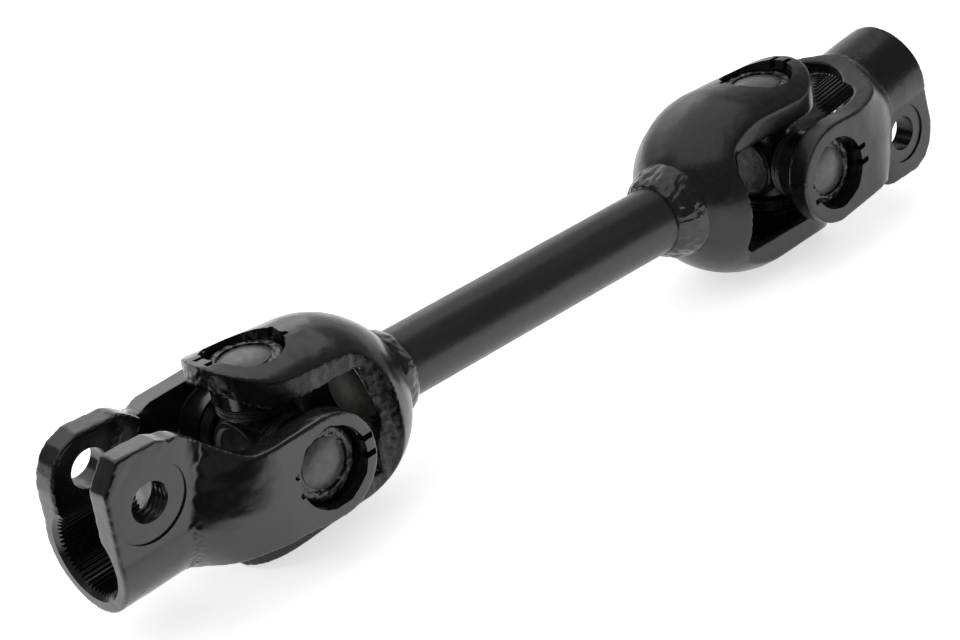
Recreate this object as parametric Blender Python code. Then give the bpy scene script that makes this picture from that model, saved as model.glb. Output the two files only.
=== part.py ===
# Intermediate steering shaft with a universal joint and a splined clamp yoke at each end.
# Metres, +Z up. The shaft lies along X, with its middle at the origin.

import math

import bmesh
import bpy
from mathutils import Matrix, Vector

MM = 0.001

# Driving dimensions of the shaft
JOINT_SPACING = 151.0 * MM      # between the two joint centres
SHAFT_RADIUS = 7.55 * MM
SHAFT_END_INSET = 22.5 * MM     # from a joint centre to the end of the shaft
SHAFT_CHAMFER = 1.0 * MM

# Clearances
SEAT_GAP = 0.3 * MM             # between two pieces that seat on each other
RUN_GAP = 0.2 * MM              # radial, between pieces that turn on each other
PRESS_GAP = 0.2 * MM            # radial, round a cup pressed into its arm
CUT_OVER = 2.0 * MM             # how far a cutter runs past what it cuts

# Bearing cups, needles, seals and thrust pads
CUP_RADIUS = 8.0 * MM
CUP_WALL = 1.0 * MM
CUP_FLOOR = 1.5 * MM
CUP_LENGTH = 8.8 * MM
CUP_CORNER = 0.7 * MM           # bevel round the closed end
CUP_RECESS = 2.0 * MM           # from the end yoke arm's outer face down to the cup
CUP_DOME_RADIUS = 5.2 * MM
CUP_DOME_HEIGHT = 0.35 * MM
CUP_GROOVE = 0.45 * MM          # depth and width of the ring round the dome
CUP_DOME_SHOULDER = 0.6         # share of the dome's radius where it levels out
CUP_CROWN = 0.1 * MM            # further rise at the middle of the dome
NEEDLE_COUNT = 16
NEEDLE_RADIUS = 1.1 * MM
NEEDLE_LENGTH = 5.0 * MM
NEEDLE_VALLEY = 0.45            # height of the dip between needles over their radius
PAD_THICKNESS = 0.9 * MM
PAD_EDGE = 0.5 * MM             # how much smaller than the trunnion the pad is
SEAL_THICKNESS = 2.6 * MM
SEAL_LIP = 0.45 * MM            # depth of the groove in the seal
SEAL_INSET = 0.25 * MM          # how far inside the cup's outline the seal stays

# Cross
TRUNNION_REACH = 21.5 * MM      # from the joint centre to an end yoke arm's outer face
BOSS_EXTRA = 1.7 * MM           # boss radius over trunnion radius
HUB_RADIUS = 7.0 * MM
HUB_FACE_STOCK = 0.25 * MM      # floor of the dish over the bosses' outline
HUB_DISH_RADIUS = 5.9 * MM
HUB_DISH_DEPTH = 0.7 * MM
TRUNNION_CHAMFER = 0.5 * MM

# Inner yokes, drawn as a cup with two arms along Z
INNER_WALL = 5.0 * MM
INNER_ARM_HALF = 12.8 * MM      # half width of an arm, and the radius of its tip
INNER_TIP_SHIFT = 1.0 * MM      # from the joint centre to the middle of the tip's round
INNER_CUT_FILLET = 6.0 * MM     # corner between an arm's edge and the side cut
SIDE_WINDOW = 11.7 * MM         # half height of the way through between the arms
SIDE_WINDOW_DEPTH = 17.0 * MM

# Arms of the end yokes
ARM_WALL = 5.0 * MM
BEND_START = 11.0 * MM          # where the arms start to bend in
BEND_END = 28.8 * MM            # where they meet the clamp, at mid height
BEND_CURVE = 0.032 / MM         # how the end of the bend moves back with height
BEND_CURVE_LIMIT = 15.0 * MM    # height above which it moves no further
ROUND_POWER = 2.0               # section of the strip at the clamp, a half round
SQUARE_POWER = 8.0              # and at the arms, nearly flat sided
ARM_EXTRA_DEPTH = 12.0 * MM     # keeps the curve of the section below the arms
BORE_STOCK = 0.1 * MM           # left inside the serrations before they are cut
LEG_SHARES = (1.0, 0.7, 0.4)    # heights of the section's rows above the middle plane
CURVE_STEPS = 6                 # round the underside of the section, on each side
BEND_STATIONS = 7
THROAT = 24.5 * MM              # from the joint centre to the front of the closed side
THROAT_RADIUS = 12.0 * MM
THROAT_TOP = 1.3 * MM           # below the clamp's axis
LOWER_WAIST_AT = 11.0 * MM      # where an arm's lower edge has drawn in
LOWER_WAIST = 1.2 * MM          # by this much
LOWER_DROP_START = 17.0 * MM    # from here the edge drops
LOWER_DROP_END = 27.0 * MM      # and here it reaches the closed side
LOWER_DROP_POWER = 1.6
LOWER_CLEAR = 0.15 * MM         # of the profile cut below the clamp's round
WAIST = 14.5 * MM               # narrowest place between arm and ear

# Clamps
CLAMP_RADIUS = 12.0 * MM
EAR_INSET = 0.3 * MM            # outer face of an ear inside the clamp's round
SERRATIONS = 36
SERRATION_DEPTH = 0.7 * MM
ROOT_SHARE = 0.12               # half width of a root between teeth, over the pitch
CREST_SHARE = 0.4               # where a tooth's crest starts, over the pitch
SPOT_DEPTH = 0.4 * MM
HOLE_STOP = 0.1 * MM            # keeps the two hole cutters apart in the slot

# Weld beads
BEAD_LENGTH = 4.2 * MM
BEAD_RISE = 3.2 * MM
BEAD_RIPPLES = 11
BEAD_RIPPLE = 0.28 * MM
BEAD_WAVES = 3                  # slower swell round the bead
BEAD_WAVE_START = 1.0           # radians
BEAD_EDGE = 0.5 * MM            # height of the bead's outer edge
BEAD_SECTION = ((0.75, 0.6), (0.35, 0.75))  # shares of rise and length on its crown

ROUND_SIDES = 28                # sides of a large round
CUP_SIDES = 20
SMALL_SIDES = 16                # sides of a small round
TIP_STEPS = 12                  # along the half round of an arm's tip
FILLET_STEPS = 4
THROAT_STEPS = 8
DOME_STEPS = (7, 5)             # outside and inside of the drawn cup's dome
DROP_STEPS = 4                  # along the lower edge of an end yoke
RISE_STEPS = 5                  # along its upper edge, from arm to ear
SHARP_ANGLE = math.radians(32)  # edges sharper than this keep a crease in the shading


class ClampEnd:
    """Sizes in which the two ends of the shaft differ."""

    def __init__(self, letter, length, bore, slot_half, arm_half, ear_top, far_top, ear_shape,
                 hole_at, hole_near, hole_far, spot_radius, tilt, roll, offset,
                 side_cut, inner_radius, inner_flare, dome_start, dome_depth):
        self.letter = letter
        self.length = length            # joint centre to clamp end
        self.bore = bore                # radius to the bottom of the serrations
        self.slot_half = slot_half      # half width between the ears
        self.arm_half = arm_half        # half width of an arm, and the radius of its tip
        self.ear_top = ear_top          # top of the near ear over the clamp axis
        self.far_top = far_top          # top of the far ear
        self.ear_shape = ear_shape      # outline of the ear's outer corner
        self.hole_at = hole_at          # pinch hole back from the clamp end, and height
        self.hole_near = hole_near      # radius in the ear that takes the thread
        self.hole_far = hole_far        # radius in the ear that takes the head
        self.spot_radius = spot_radius
        self.tilt = tilt                # resting angle of the end yoke about Y
        self.roll = roll                # twist of the ears about the clamp axis
        self.offset = offset            # clamp axis from the arms' middle plane
        self.side_cut = side_cut        # joint centre to the inner yoke's side edge
        self.inner_radius = inner_radius    # inner yoke's outside, at the joint centre
        self.inner_flare = inner_flare      # its growth per length towards the arm tips
        self.dome_start = dome_start        # joint centre to the start of the dome
        self.dome_depth = dome_depth

    def outside(self, x):
        """Outside radius of the inner yoke's straight part."""
        return self.inner_radius - self.inner_flare * x


# Outer corner of an ear, as distances back from the clamp end and down from the ear top
CHAMFERED_EAR = ((0.0, 5.8 * MM), (2.6 * MM, 0.0), (12.9 * MM, 0.7 * MM),
                 (15.3 * MM, 2.0 * MM))
ROUNDED_EAR = ((0.0, 9.0 * MM), (0.7 * MM, 6.4 * MM), (1.9 * MM, 3.7 * MM),
               (4.2 * MM, 1.3 * MM), (8.0 * MM, 0.0), (16.8 * MM, 0.9 * MM))

END_A = ClampEnd("a", 45.0 * MM, 8.9 * MM, 6.5 * MM, 10.8 * MM, 22.8 * MM, 20.2 * MM,
                 CHAMFERED_EAR, (9.0 * MM, 12.1 * MM), 4.4 * MM, 4.1 * MM, 8.3 * MM,
                 math.radians(-2.7), math.radians(-7.0), 1.5 * MM,
                 20.5 * MM, 21.0 * MM, 0.07, 12.0 * MM, 20.4 * MM)
END_B = ClampEnd("b", 42.0 * MM, 8.8 * MM, 6.5 * MM, 11.5 * MM, 20.0 * MM, 20.0 * MM, ROUNDED_EAR,
                 (10.5 * MM, 9.0 * MM), 4.05 * MM, 4.05 * MM, 6.9 * MM,
                 math.radians(-8.2), 0.0, 2.3 * MM,
                 23.0 * MM, 20.9 * MM, -0.03, 13.0 * MM, 22.0 * MM)

JOINT_X = JOINT_SPACING / 2
CUP_HOLE = CUP_RADIUS + PRESS_GAP
CUP_TOP = TRUNNION_REACH - CUP_RECESS
CUP_MOUTH = CUP_TOP - CUP_LENGTH
CUP_INNER = CUP_RADIUS - CUP_WALL
CUP_BOTTOM = CUP_TOP - CUP_DOME_HEIGHT - CUP_FLOOR
NEEDLE_PITCH = CUP_INNER - RUN_GAP - NEEDLE_RADIUS
TRUNNION_RADIUS = NEEDLE_PITCH - NEEDLE_RADIUS - RUN_GAP
PAD_TOP = CUP_BOTTOM - SEAT_GAP
TRUNNION_END = PAD_TOP - PAD_THICKNESS - SEAT_GAP
SEAL_TOP = CUP_MOUTH - RUN_GAP
SEAL_BOTTOM = SEAL_TOP - SEAL_THICKNESS
BOSS_TOP = SEAL_BOTTOM - RUN_GAP
BOSS_RADIUS = TRUNNION_RADIUS + BOSS_EXTRA
HUB_HALF_LENGTH = BOSS_RADIUS + HUB_FACE_STOCK + HUB_DISH_DEPTH
NEEDLE_BOTTOM = CUP_MOUTH + SEAT_GAP
ARM_FACE = TRUNNION_REACH
EAR_FACE = CLAMP_RADIUS - EAR_INSET


# Shared helpers

def clear_scene():
    for obj in list(bpy.data.objects):
        bpy.data.objects.remove(obj, do_unlink=True)


def material(name, colour, roughness, metallic):
    made = bpy.data.materials.new(name)
    made.use_nodes = True
    shader = made.node_tree.nodes["Principled BSDF"]
    shader.inputs["Base Color"].default_value = (*colour, 1.0)
    shader.inputs["Roughness"].default_value = roughness
    shader.inputs["Metallic"].default_value = metallic
    return made


def empty(name, matrix, parent=None):
    made = bpy.data.objects.new(name, None)
    bpy.context.scene.collection.objects.link(made)
    made.parent = parent
    made.matrix_local = matrix
    return made


def add_object(name, bm, parent, finish=None, matrix=None):
    bmesh.ops.remove_doubles(bm, verts=bm.verts, dist=1e-7)
    bmesh.ops.recalc_face_normals(bm, faces=bm.faces)
    mesh = bpy.data.meshes.new(name)
    bm.to_mesh(mesh)
    bm.free()
    mesh.shade_smooth()
    mesh.set_sharp_from_angle(angle=SHARP_ANGLE)
    made = bpy.data.objects.new(name, mesh)
    bpy.context.scene.collection.objects.link(made)
    made.parent = parent
    if matrix is not None:
        made.matrix_local = matrix
    if finish is not None:
        mesh.materials.append(finish)
    return made


def cutter(name, bm, parent, matrix=None):
    made = add_object(name, bm, parent, matrix=matrix)
    made.hide_render = True
    made.display_type = 'WIRE'
    return made


def combine(obj, other, operation):
    modifier = obj.modifiers.new(other.name, 'BOOLEAN')
    modifier.operation = operation
    modifier.solver = 'EXACT'
    modifier.object = other


def cut_all(obj, cutters):
    """Take several cutters away in one Boolean."""
    group = bpy.data.collections.new("cuts_" + obj.name)
    bpy.context.scene.collection.children.link(group)
    for item in cutters:
        group.objects.link(item)
    modifier = obj.modifiers.new(group.name, 'BOOLEAN')
    modifier.operation = 'DIFFERENCE'
    modifier.solver = 'EXACT'
    modifier.operand_type = 'COLLECTION'
    modifier.collection = group


def turned(profile, steps):
    """Closed outline of (radius, height) pairs, spun round Z."""
    bm = bmesh.new()
    verts = [bm.verts.new((radius, 0.0, height)) for radius, height in profile]
    edges = []
    for i in range(len(verts)):
        if profile[i - 1][0] > 0 or profile[i][0] > 0:
            edges.append(bm.edges.new((verts[i - 1], verts[i])))
    bmesh.ops.spin(bm, geom=verts + edges, cent=(0, 0, 0), axis=(0, 0, 1),
                   angle=2 * math.pi, steps=steps, use_duplicate=False)
    bmesh.ops.remove_doubles(bm, verts=bm.verts, dist=1e-7)
    return bm


def prism(outline, low, high, axis):
    """Flat outline extruded along an axis; the outline's pairs are the other two axes."""
    places = {
        'X': lambda a, b, depth: (depth, a, b),
        'Y': lambda a, b, depth: (a, depth, b),
        'Z': lambda a, b, depth: (a, b, depth),
    }[axis]
    bm = bmesh.new()
    face = bm.faces.new([bm.verts.new(places(a, b, low)) for a, b in outline])
    grown = bmesh.ops.extrude_face_region(bm, geom=[face])
    moved = [item for item in grown["geom"] if isinstance(item, bmesh.types.BMVert)]
    bmesh.ops.translate(bm, verts=moved, vec=Vector(places(0.0, 0.0, high - low)))
    return bm


def arc(centre, radius, start, stop, steps):
    """Points on an arc, angles in degrees."""
    points = []
    for i in range(steps + 1):
        angle = math.radians(start + (stop - start) * i / steps)
        points.append((centre[0] + radius * math.cos(angle),
                       centre[1] + radius * math.sin(angle)))
    return points


def rod(radius, low, high, axis, steps=ROUND_SIDES, at=(0.0, 0.0)):
    return prism(arc(at, radius, 0, 360 - 360 / steps, steps - 1), low, high, axis)


def smooth_step(value):
    value = min(1.0, max(0.0, value))
    return value * value * (3 - 2 * value)


# Inner yoke

def dome_arc(radius, start, depth, hole, steps):
    """Quarter of an ellipse from the cup's straight wall to a starting hole."""
    last = math.acos(hole / radius)
    return [(radius * math.cos(last * i / steps), start + depth * math.sin(last * i / steps))
            for i in range(steps + 1)]


def drawn_cup(end):
    """Cup with a domed bottom, its axis along +X, open towards the joint."""
    hole = SHAFT_RADIUS / 2
    mouth = -INNER_ARM_HALF - CUT_OVER
    radius = end.outside(end.dome_start)
    steps_outer, steps_inner = DOME_STEPS
    outer = dome_arc(radius, end.dome_start, end.dome_depth, hole, steps_outer)
    inner = dome_arc(radius - INNER_WALL, end.dome_start, end.dome_depth - INNER_WALL, hole,
                     steps_inner)
    profile = [(end.outside(mouth), mouth)] + outer + inner[::-1]
    profile.append((end.outside(mouth) - INNER_WALL, mouth))
    bm = turned(profile, ROUND_SIDES)
    bmesh.ops.transform(bm, matrix=Matrix.Rotation(math.radians(90), 4, 'Y'), verts=bm.verts)
    bmesh.ops.triangulate(bm, faces=bm.faces)
    return bm


def inner_plan(end):
    """Plan of the inner yoke: round arm tips, straight edges and the two side cuts."""
    wide = end.inner_radius + CUT_OVER
    back = end.dome_start + end.dome_depth + CUT_OVER
    corner = (end.side_cut - INNER_CUT_FILLET, INNER_ARM_HALF + INNER_CUT_FILLET)
    half = arc(corner, INNER_CUT_FILLET, -90, 0, FILLET_STEPS)
    half += [(end.side_cut, wide), (back, wide)]
    tip = arc((INNER_TIP_SHIFT, 0.0), INNER_ARM_HALF, 90, 270, TIP_STEPS)
    return tip + [(x, -y) for x, y in half] + half[::-1]


def inner_yoke(end, finish, frame):
    name = "inner_yoke_" + end.letter
    yoke = add_object(name, drawn_cup(end), frame, finish)
    high = end.outside(-INNER_ARM_HALF) + CUT_OVER
    plan = prism(inner_plan(end), -high, high, 'Z')
    combine(yoke, cutter("plan_cut_inner_" + end.letter, plan, frame), 'INTERSECT')
    window = [(-high, -SIDE_WINDOW), (SIDE_WINDOW_DEPTH, -SIDE_WINDOW),
              (SIDE_WINDOW_DEPTH, SIDE_WINDOW), (-high, SIDE_WINDOW)]
    back = end.dome_start + end.dome_depth + CUT_OVER
    cuts = {
        "window": prism(window, -high, high, 'Y'),
        "cup": rod(CUP_HOLE, -high, high, 'Z', CUP_SIDES),
        "shaft": rod(SHAFT_RADIUS + SEAT_GAP, end.dome_start, back, 'X'),
    }
    cut_all(yoke, [cutter(key + "_cut_inner_" + end.letter, cuts[key], frame) for key in cuts])
    return yoke


# End yoke

def arm_stand(x, height):
    """Outer face of the strip from the middle plane: out at the arms, in at the ears."""
    finish = BEND_END - BEND_CURVE * min(abs(height), BEND_CURVE_LIMIT) ** 2
    share = min(1.0, max(0.0, (x - BEND_START) / (finish - BEND_START)))
    return EAR_FACE + (ARM_FACE - EAR_FACE) * math.cos(share * math.pi / 2)


def channel_section(end, x):
    """Closed outline of the bent strip at one place along the clamp's axis."""
    clamp_share = smooth_step((x - BEND_START) / (BEND_END - BEND_START))
    arm_share = 1 - clamp_share
    power = ROUND_POWER + (SQUARE_POWER - ROUND_POWER) * arm_share
    crease = clamp_share * math.sqrt(CLAMP_RADIUS ** 2 - EAR_FACE ** 2)
    bulge = 1 + clamp_share * (CLAMP_RADIUS / EAR_FACE - 1)
    ear_wall = EAR_FACE - end.slot_half
    wall = ARM_WALL + (ear_wall - ARM_WALL) * clamp_share
    deep = CLAMP_RADIUS + ARM_EXTRA_DEPTH * arm_share
    bore_floor = end.bore - SERRATION_DEPTH - BORE_STOCK
    deep_inside = (deep - ARM_WALL) * arm_share + bore_floor * clamp_share
    top = end.ear_top + CUT_OVER

    twist = Matrix.Rotation(end.roll * clamp_share, 2)
    shift = Vector((end.offset * clamp_share, 0.0))

    def side(depth, inset, widen, start_height):
        points = []
        for share in LEG_SHARES:
            height = top * share
            points.append((arm_stand(x, height) - inset, height))
        start = -math.asin((start_height / depth) ** (power / 2))
        for i in range(CURVE_STEPS + 1):
            angle = start + (math.pi / 2 - start) * i / CURVE_STEPS
            height = -depth * math.copysign(abs(math.sin(angle)) ** (2 / power), angle)
            reach = abs(math.cos(angle)) ** (2 / power)
            points.append(((arm_stand(x, height) * widen - inset) * reach, height))
        return points

    outer = side(deep, 0.0, bulge, crease)
    inner = side(deep_inside, wall, 1.0, 0.0)
    loops = []
    for half in (outer, inner):
        whole = half + [(-y, z) for y, z in half[-2::-1]]
        loops.append([twist @ Vector(point) + shift for point in whole])
    return loops


def channel(end):
    """The bent strip: two flat arms that run together into the round clamp."""
    stations = [-end.arm_half - CUT_OVER, BEND_START]
    for i in range(BEND_STATIONS):
        stations.append(BEND_START + (BEND_END - BEND_START) * (i + 1) / BEND_STATIONS)
    stations.append(end.length)
    bm = bmesh.new()
    rings = []
    for x in stations:
        outer, inner = channel_section(end, x)
        ring_outer = [bm.verts.new((x, y, z)) for y, z in outer]
        ring_inner = [bm.verts.new((x, y, z)) for y, z in inner]
        rings.append((ring_outer, ring_inner))
    for (outer_a, inner_a), (outer_b, inner_b) in zip(rings, rings[1:]):
        for i in range(len(outer_a) - 1):
            bm.faces.new((outer_a[i], outer_b[i], outer_b[i + 1], outer_a[i + 1]))
            bm.faces.new((inner_a[i], inner_a[i + 1], inner_b[i + 1], inner_b[i]))
        bm.faces.new((outer_a[0], inner_a[0], inner_b[0], outer_b[0]))
        bm.faces.new((outer_a[-1], outer_b[-1], inner_b[-1], inner_a[-1]))
    for outer, inner in (rings[0], rings[-1]):
        for i in range(len(outer) - 1):
            bm.faces.new((outer[i], outer[i + 1], inner[i + 1], inner[i]))
    bmesh.ops.triangulate(bm, faces=bm.faces)
    return bm


def end_profile(end):
    """Outline of an end yoke from the side, as x and z."""
    low = -CLAMP_RADIUS - LOWER_CLEAR
    arm_half = end.arm_half
    tip = arc((0.0, 0.0), arm_half, 90, 270, TIP_STEPS)
    edge = LOWER_WAIST - arm_half
    lower = [(LOWER_WAIST_AT, edge)]
    for i in range(DROP_STEPS + 1):
        share = i / DROP_STEPS
        lower.append((LOWER_DROP_START + (LOWER_DROP_END - LOWER_DROP_START) * share,
                      edge + (low - edge) * share ** LOWER_DROP_POWER))
    ear = [(end.length + CUT_OVER, low),
           (end.length + CUT_OVER, end.ear_top - end.ear_shape[0][1])]
    ear += [(end.length - back, end.ear_top - down) for back, down in end.ear_shape]
    last_x, last_z = ear[-1]
    rise = []
    for i in range(1, RISE_STEPS + 1):
        share = i / RISE_STEPS
        rise.append((last_x + (WAIST - last_x) * share,
                     arm_half + (last_z - arm_half) * (1 - smooth_step(share))))
    return tip + lower + ear + rise


def far_ear_trim(end):
    """Region above the far ear, as x and z, where that ear is the lower one."""
    outline = [(end.length - back, end.far_top - down) for back, down in ROUNDED_EAR]
    high = end.ear_top + CUT_OVER
    front = end.length + CUT_OVER
    return outline + [(outline[-1][0] - CUT_OVER, high), (front, high), (front, outline[0][1])]


def throat_plan(end):
    """Plan of the opening between the arms, closed by a round throat."""
    left = -end.arm_half - 2 * CUT_OVER
    points = [(left, THROAT_RADIUS), (left, -THROAT_RADIUS)]
    return points + arc((THROAT - THROAT_RADIUS, 0.0), THROAT_RADIUS, -90, 90, THROAT_STEPS)


def serrated_outline(end):
    """Round bore with pointed teeth, as y and z."""
    points = []
    pitch = 2 * math.pi / SERRATIONS
    crest = end.bore - SERRATION_DEPTH
    for i in range(SERRATIONS):
        for radius, share in ((end.bore, -ROOT_SHARE), (end.bore, ROOT_SHARE),
                              (crest, CREST_SHARE), (crest, 1 - CREST_SHARE)):
            angle = (i + share) * pitch
            points.append((radius * math.cos(angle), radius * math.sin(angle)))
    return points


def end_yoke(end, finish, frame):
    tag = "_end_" + end.letter
    yoke = add_object("end_yoke_" + end.letter, channel(end), frame, finish)
    wide = ARM_FACE + CUT_OVER
    side_view = prism(end_profile(end), -wide, wide, 'Y')
    combine(yoke, cutter("profile_cut" + tag, side_view, frame), 'INTERSECT')
    at = (end.length - end.hole_at[0], end.hole_at[1])
    spot_floor = EAR_FACE - SPOT_DEPTH
    clamp_axis = Matrix.Translation((0, end.offset, 0)) @ Matrix.Rotation(end.roll, 4, 'X')
    arm_cuts = {
        "throat": prism(throat_plan(end), -CLAMP_RADIUS - 2 * CUT_OVER, -THROAT_TOP, 'Z'),
        "cup": rod(CUP_HOLE, -wide, wide, 'Y', CUP_SIDES),
    }
    clamp_cuts = {
        "bore": prism(serrated_outline(end), THROAT - THROAT_RADIUS,
                      end.length + CUT_OVER, 'X'),
        "near_hole": rod(end.hole_near, 0.0, wide, 'Y', SMALL_SIDES, at),
        "far_hole": rod(end.hole_far, -wide, -HOLE_STOP, 'Y', SMALL_SIDES, at),
        "far_ear": prism(far_ear_trim(end), -wide, 0.0, 'Y'),
        "spot": rod(end.spot_radius, spot_floor, wide, 'Y', ROUND_SIDES, at),
    }
    made = [cutter(key + "_cut" + tag, arm_cuts[key], frame) for key in arm_cuts]
    made += [cutter(key + "_cut" + tag, clamp_cuts[key], frame, clamp_axis)
             for key in clamp_cuts]
    cut_all(yoke, made)
    return yoke


# Cross and bearings

def trunnion_pair():
    """One straight bar of the cross, along Z, with a boss and a trunnion at each end."""
    half = [(0.0, TRUNNION_END), (TRUNNION_RADIUS - TRUNNION_CHAMFER, TRUNNION_END),
            (TRUNNION_RADIUS, TRUNNION_END - TRUNNION_CHAMFER), (TRUNNION_RADIUS, BOSS_TOP),
            (BOSS_RADIUS, BOSS_TOP)]
    return turned(half + [(radius, -height) for radius, height in half[::-1]], SMALL_SIDES)


def hub():
    half = [(0.0, HUB_HALF_LENGTH - HUB_DISH_DEPTH),
            (HUB_DISH_RADIUS - HUB_DISH_DEPTH, HUB_HALF_LENGTH - HUB_DISH_DEPTH),
            (HUB_DISH_RADIUS, HUB_HALF_LENGTH), (HUB_RADIUS, HUB_HALF_LENGTH)]
    return turned(half + [(radius, -height) for radius, height in half[::-1]], SMALL_SIDES)


def cross(end, finish, frame):
    tag = "_cross_" + end.letter
    piece = add_object("cross_" + end.letter, hub(), frame, finish,
                       Matrix.Rotation(math.radians(90), 4, 'Y'))
    upright = cutter("upright_bar" + tag, trunnion_pair(), frame)
    level = cutter("level_bar" + tag, trunnion_pair(), frame,
                   Matrix.Rotation(math.radians(90), 4, 'X'))
    combine(piece, upright, 'UNION')
    combine(piece, level, 'UNION')
    return piece


def cup_profile():
    corner = [(CUP_RADIUS, CUP_TOP - CUP_CORNER), (CUP_RADIUS - CUP_CORNER, CUP_TOP)]
    groove_out = CUP_DOME_RADIUS + CUP_GROOVE
    dome = [(CUP_DOME_RADIUS, CUP_TOP - CUP_DOME_HEIGHT),
            (CUP_DOME_SHOULDER * CUP_DOME_RADIUS, CUP_TOP), (0.0, CUP_TOP + CUP_CROWN)]
    inside = [(0.0, CUP_BOTTOM), (CUP_INNER, CUP_BOTTOM), (CUP_INNER, CUP_MOUTH)]
    return ([(CUP_RADIUS, CUP_MOUTH)] + corner + [(groove_out, CUP_TOP)]
            + [(CUP_DOME_RADIUS, CUP_TOP - CUP_GROOVE)] + dome + inside)


def needle_ring():
    """The full complement of needles, side by side, as one scalloped ring."""
    steps = NEEDLE_COUNT
    outline_out = []
    outline_in = []
    touch = math.pi / steps
    for i in range(steps):
        middle = 2 * math.pi * i / steps
        valley = middle + touch
        for reach, angle in ((NEEDLE_RADIUS, middle), (NEEDLE_VALLEY * NEEDLE_RADIUS, valley)):
            far = NEEDLE_PITCH + reach
            near = NEEDLE_PITCH - reach
            outline_out.append((far * math.cos(angle), far * math.sin(angle)))
            outline_in.append((near * math.cos(angle), near * math.sin(angle)))
    bm = bmesh.new()
    count = len(outline_out)
    levels = []
    for height in (NEEDLE_BOTTOM, NEEDLE_BOTTOM + NEEDLE_LENGTH):
        levels.append(([bm.verts.new((x, y, height)) for x, y in outline_out],
                       [bm.verts.new((x, y, height)) for x, y in outline_in]))
    (low_out, low_in), (high_out, high_in) = levels
    for i in range(count):
        j = (i + 1) % count
        bm.faces.new((low_out[i], low_out[j], high_out[j], high_out[i]))
        bm.faces.new((low_in[j], low_in[i], high_in[i], high_in[j]))
        bm.faces.new((low_out[j], low_out[i], low_in[i], low_in[j]))
        bm.faces.new((high_out[i], high_out[j], high_in[j], high_in[i]))
    return bm


def seal_profile():
    inner = TRUNNION_RADIUS + RUN_GAP
    outer = CUP_RADIUS - SEAL_INSET
    middle = (SEAL_BOTTOM + SEAL_TOP) / 2
    return [(inner, SEAL_BOTTOM), (outer, SEAL_BOTTOM), (outer - SEAL_LIP, middle),
            (outer, SEAL_TOP), (inner, SEAL_TOP)]


def pad_profile():
    radius = TRUNNION_RADIUS - PAD_EDGE
    return [(0.0, PAD_TOP - PAD_THICKNESS), (radius, PAD_TOP - PAD_THICKNESS),
            (radius, PAD_TOP), (0.0, PAD_TOP)]


def bearing(label, frame, direction, looks):
    """Cup, needles, seal and thrust pad on one trunnion; direction turns +Z outward."""
    add_object("bearing_cup_" + label, turned(cup_profile(), CUP_SIDES), frame,
               looks["cup"], direction)
    add_object("needles_" + label, needle_ring(), frame, looks["needles"], direction)
    add_object("seal_" + label, turned(seal_profile(), SMALL_SIDES), frame,
               looks["rubber"], direction)


def thrust_pad(label, frame, direction, finish):
    add_object("thrust_pad_" + label, turned(pad_profile(), SMALL_SIDES), frame,
               finish, direction)


# Shaft and weld beads

def shaft(finish):
    length = JOINT_SPACING - 2 * SHAFT_END_INSET
    half = [(0.0, length / 2), (SHAFT_RADIUS - SHAFT_CHAMFER, length / 2),
            (SHAFT_RADIUS, length / 2 - SHAFT_CHAMFER)]
    bm = turned(half + [(radius, -height) for radius, height in half[::-1]], ROUND_SIDES)
    return add_object("shaft", bm, None, finish, Matrix.Rotation(math.radians(90), 4, 'Y'))


def dome_height(end, radius):
    """Height of the dome's outer face at a distance from the shaft's axis."""
    across = end.outside(end.dome_start)
    return end.dome_start + end.dome_depth * math.sqrt(1 - (radius / across) ** 2)


def weld_bead(end, finish, frame):
    """Rippled fillet weld between the dome and the shaft."""
    inner = SHAFT_RADIUS + SEAT_GAP
    outer = inner + BEAD_RISE
    root = dome_height(end, inner) + SEAT_GAP
    foot = dome_height(end, outer) + SEAT_GAP
    crown = [(inner + out * BEAD_RISE, base + up * BEAD_LENGTH)
             for base, (out, up) in zip((foot, root), BEAD_SECTION)]
    profile = [(inner, root), (outer, foot), (outer, foot + BEAD_EDGE)] + crown
    profile.append((inner, root + BEAD_LENGTH))
    bm = turned(profile, 2 * BEAD_RIPPLES + 1)
    for vert in bm.verts:
        radius = math.hypot(vert.co.x, vert.co.y)
        if radius < inner + BEAD_RIPPLE or vert.co.z < foot + BEAD_EDGE / 2:
            continue
        angle = math.atan2(vert.co.y, vert.co.x)
        swell = math.sin(BEAD_RIPPLES * angle) + math.sin(BEAD_WAVES * angle + BEAD_WAVE_START)
        vert.co.z += BEAD_RIPPLE * swell
    return add_object("weld_bead_" + end.letter, bm, frame, finish,
                      Matrix.Rotation(math.radians(90), 4, 'Y'))


# Assembly

def looks():
    return {
        "shaft": material("satin_black_shaft", (0.022, 0.022, 0.024), 0.42, 0.0),
        "yoke": material("gloss_black_paint", (0.016, 0.016, 0.018), 0.28, 0.0),
        "weld": material("painted_weld", (0.03, 0.03, 0.032), 0.38, 0.0),
        "cup": material("painted_cup_steel", (0.05, 0.05, 0.055), 0.32, 0.3),
        "cross": material("dark_forged_steel", (0.045, 0.042, 0.038), 0.4, 0.6),
        "needles": material("bearing_steel", (0.5, 0.5, 0.5), 0.22, 1.0),
        "rubber": material("black_rubber", (0.015, 0.015, 0.015), 0.6, 0.0),
        "nylon": material("white_nylon", (0.75, 0.73, 0.68), 0.5, 0.0),
    }


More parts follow.
